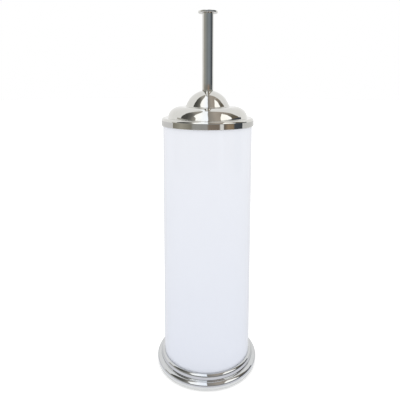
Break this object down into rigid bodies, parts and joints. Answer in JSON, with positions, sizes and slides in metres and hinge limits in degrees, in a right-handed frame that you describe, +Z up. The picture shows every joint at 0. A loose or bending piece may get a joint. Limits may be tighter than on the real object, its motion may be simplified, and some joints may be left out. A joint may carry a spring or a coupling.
{
  "type": "toilet brush holder",
  "caption": "Free-standing toilet brush holder: white enamelled steel tube on a stepped chrome base, domed chrome lid fixed to the brush handle, drip cup inside.",
  "frame": {"origin": "on the floor, under the middle of the base, on the tube's axis", "axes": "+Z up along the tube, the handle and the shaft; the front faces -Y and the tube's weld seam is at the back, +Y"},
  "size_m": [0.1112, 0.1112, 0.3862],
  "materials": {
    "white_enamel": "stoved white enamel on steel sheet, glossy, very slightly cool",
    "bright_chrome": "polished bright chrome plate",
    "stainless_steel": "drawn stainless tube, satin",
    "galvanised_steel": "bright zinc plate",
    "brass": "turned",
    "white_polypropylene": "moulded, satin",
    "clear_nylon": "moulded natural nylon",
    "black_abs": "moulded, fine texture",
    "black_rubber": "foam rubber",
    "white_bristles": "tufts of white polypropylene filament"
  },
  "bodies": {
    "holder": {"body_tube": "white_enamel", "tube_floor": "galvanised_steel", "floor_nuts": "galvanised_steel", "base_skirt": "bright_chrome", "base_cover": "black_abs", "base_screws": "galvanised_steel", "foot_ring": "black_rubber"},
    "cup": {"drip_cup": "white_polypropylene"},
    "brush": {"lid_shell": "bright_chrome", "centring_ring": "white_polypropylene", "dome_gasket": "clear_nylon", "saddle_washer": "galvanised_steel", "lock_washer": "galvanised_steel", "clamp_nut": "galvanised_steel", "clamp_stud": "galvanised_steel", "handle_insert": "brass", "handle_tube": "bright_chrome", "handle_cap": "bright_chrome", "shaft_top_insert": "brass", "shaft_tube": "stainless_steel", "shaft_bottom_insert": "brass", "head_stud": "galvanised_steel", "head_core": "white_polypropylene", "side_bristles": "white_bristles", "tip_bristles": "white_bristles"}
  },
  "joints": [
    {"name": "cup_lift", "type": "slide", "parent": "holder", "child": "cup", "axis": [0, 0, 1], "range_m": [0, 0.275]},
    {"name": "brush_lift", "type": "slide", "parent": "cup", "child": "brush", "axis": [0, 0, 1], "range_m": [0, 0.28]}
  ]
}
